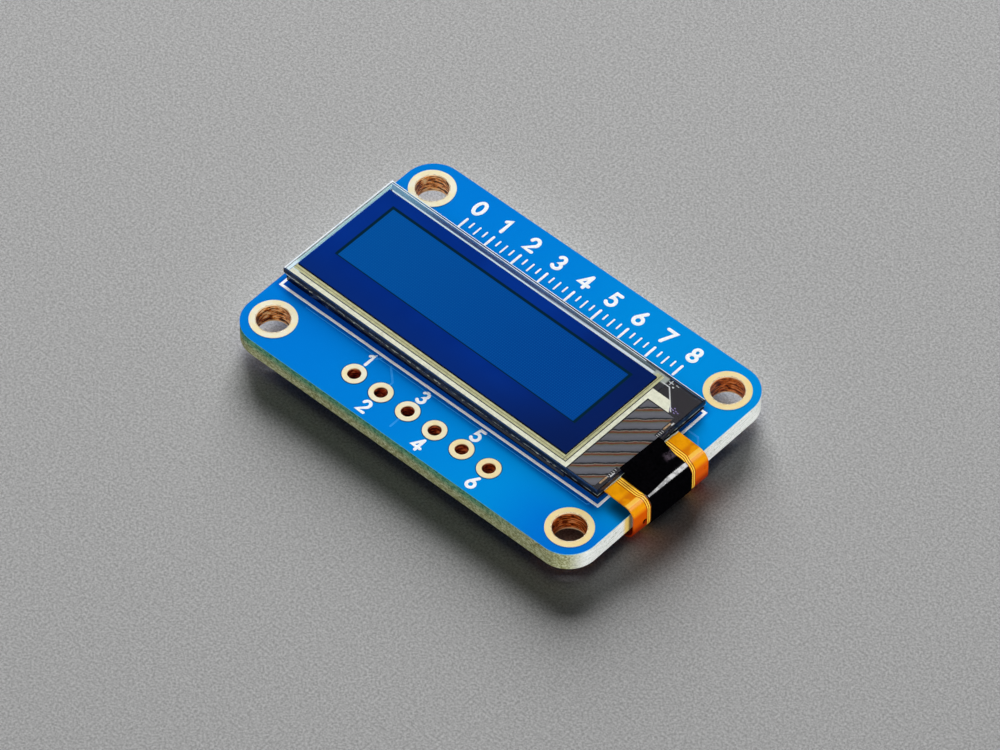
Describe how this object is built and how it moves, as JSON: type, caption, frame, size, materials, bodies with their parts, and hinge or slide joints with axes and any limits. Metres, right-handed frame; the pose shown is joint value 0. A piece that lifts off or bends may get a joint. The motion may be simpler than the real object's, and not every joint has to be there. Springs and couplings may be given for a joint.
{
  "type": "small oled module",
  "caption": "Small graphic display module: a glass panel on a rounded blue circuit board, its flexible circuit bent round one edge, with mounting holes and a row of header holes.",
  "frame": {"origin": "centre of the four mounting holes, on the board's back face", "axes": "+X along the board towards the bend of the flexible circuit, +Y towards the rear edge, away from the header holes, +Z out of the display"},
  "size_m": [0.0334, 0.0214, 0.0042],
  "materials": {
    "blue_laminate": "glossy blue solder mask over a glass-fibre laminate",
    "gold_plating": "pale gold-plated copper",
    "black_tape": "black adhesive tape",
    "panel_glass": "clear display glass with ground edges",
    "seal_resin": "grey-blue cured resin",
    "drying_sheet": "off-white drying sheet",
    "emitter_film": "smooth pixel layers with a fine grid",
    "cream_film": "cream metal film",
    "khaki_film": "khaki metal film",
    "fanout_metal": "dark slanting metal conductors",
    "blue_polarizer": "glossy deep blue polarizing sheet",
    "silicon": "polished dark silicon",
    "orange_polyimide": "glossy orange flexible laminate",
    "tinned_metal": "bright tinned metal and solder",
    "black_resin": "black moulding resin",
    "tan_ceramic": "tan capacitor ceramic",
    "resistor_ceramic": "black-coated resistor ceramic",
    "white_ink": "white printing ink"
  },
  "bodies": {
    "root": {"printed_board": "blue_laminate", "mount_plating_1": "gold_plating", "mount_plating_2": "gold_plating", "mount_plating_3": "gold_plating", "mount_plating_4": "gold_plating", "header_plating_1": "gold_plating", "header_plating_2": "gold_plating", "header_plating_3": "gold_plating", "header_plating_4": "gold_plating", "header_plating_5": "gold_plating", "header_plating_6": "gold_plating", "panel_adhesive": "black_tape", "cap_glass": "panel_glass", "desiccant_sheet": "drying_sheet", "edge_seal": "seal_resin", "substrate_glass": "panel_glass", "polarizer": "blue_polarizer", "pixel_matrix": "emitter_film", "supply_track": "cream_film", "cathode_track": "khaki_film", "fanout_film": "fanout_metal", "driver_chip": "silicon", "chip_shield": "black_tape", "flex_circuit": "orange_polyimide", "cover_tape": "black_tape", "tail_solder": "tinned_metal", "regulator_body": "black_resin", "regulator_leads": "tinned_metal", "transistor_1_body": "black_resin", "transistor_1_leads": "tinned_metal", "transistor_2_body": "black_resin", "transistor_2_leads": "tinned_metal", "reset_diode_body": "black_resin", "reset_diode_leads": "tinned_metal", "output_capacitor_body": "tan_ceramic", "output_capacitor_ends": "tinned_metal", "input_capacitor_body": "tan_ceramic", "input_capacitor_ends": "tinned_metal", "reservoir_capacitor_body": "tan_ceramic", "reservoir_capacitor_ends": "tinned_metal", "reset_capacitor_body": "tan_ceramic", "reset_capacitor_ends": "tinned_metal", "reset_resistor_body": "resistor_ceramic", "reset_resistor_ends": "tinned_metal", "current_resistor_body": "resistor_ceramic", "current_resistor_ends": "tinned_metal", "pump_capacitor_1_body": "tan_ceramic", "pump_capacitor_1_ends": "tinned_metal", "pump_capacitor_2_body": "tan_ceramic", "pump_capacitor_2_ends": "tinned_metal", "pump_capacitor_3_body": "tan_ceramic", "pump_capacitor_3_ends": "tinned_metal", "pullup_resistor_1_body": "resistor_ceramic", "pullup_resistor_1_ends": "tinned_metal", "pullup_resistor_2_body": "resistor_ceramic", "pullup_resistor_2_ends": "tinned_metal", "pullup_resistor_3_body": "resistor_ceramic", "pullup_resistor_3_ends": "tinned_metal", "pullup_resistor_4_body": "resistor_ceramic", "pullup_resistor_4_ends": "tinned_metal"}
  },
  "joints": []
}
